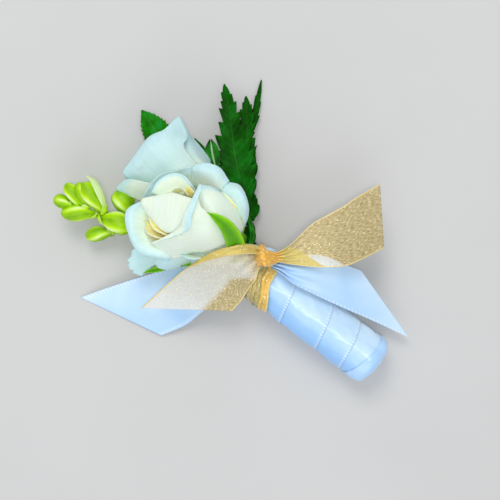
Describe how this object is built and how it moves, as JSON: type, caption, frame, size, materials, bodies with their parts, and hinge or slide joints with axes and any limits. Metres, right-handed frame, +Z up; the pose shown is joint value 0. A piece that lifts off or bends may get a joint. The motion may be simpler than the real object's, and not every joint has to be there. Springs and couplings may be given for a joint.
{
  "type": "boutonniere",
  "caption": "Buttonhole flower spray of half-open roses, freesia buds, fern and leaves, its stems wound in satin ribbon and tied with satin and sheer ribbon.",
  "frame": {"origin": "on the table under the middle of the spray's outline, the spray lying on its side", "axes": "+Z up from the table, +Y from the cut end of the handle towards the flowers, +X across the handle"},
  "size_m": [0.1032, 0.1332, 0.0455],
  "materials": {
    "rose_petal": "soft, slightly waxy",
    "rose_green": "smooth, slightly waxy",
    "freesia_bud": "smooth, slightly waxy",
    "fern": "smooth, leathery",
    "leaf": "smooth, slightly glossy",
    "floral_tape": "waxed crepe",
    "satin_ribbon": "satin",
    "organza_ribbon": "sheer with metallic threads"
  },
  "bodies": {
    "root": {"front_rose_petals": "rose_petal", "front_rose_green": "rose_green", "back_rose_petals": "rose_petal", "back_rose_green": "rose_green", "freesia_spray": "freesia_bud", "fern_frond": "fern", "rose_leaf": "leaf", "small_leaf_sprig": "leaf", "floral_tape": "floral_tape", "satin_wrap": "satin_ribbon", "satin_tie": "satin_ribbon", "organza_tie": "organza_ribbon"}
  },
  "joints": []
}
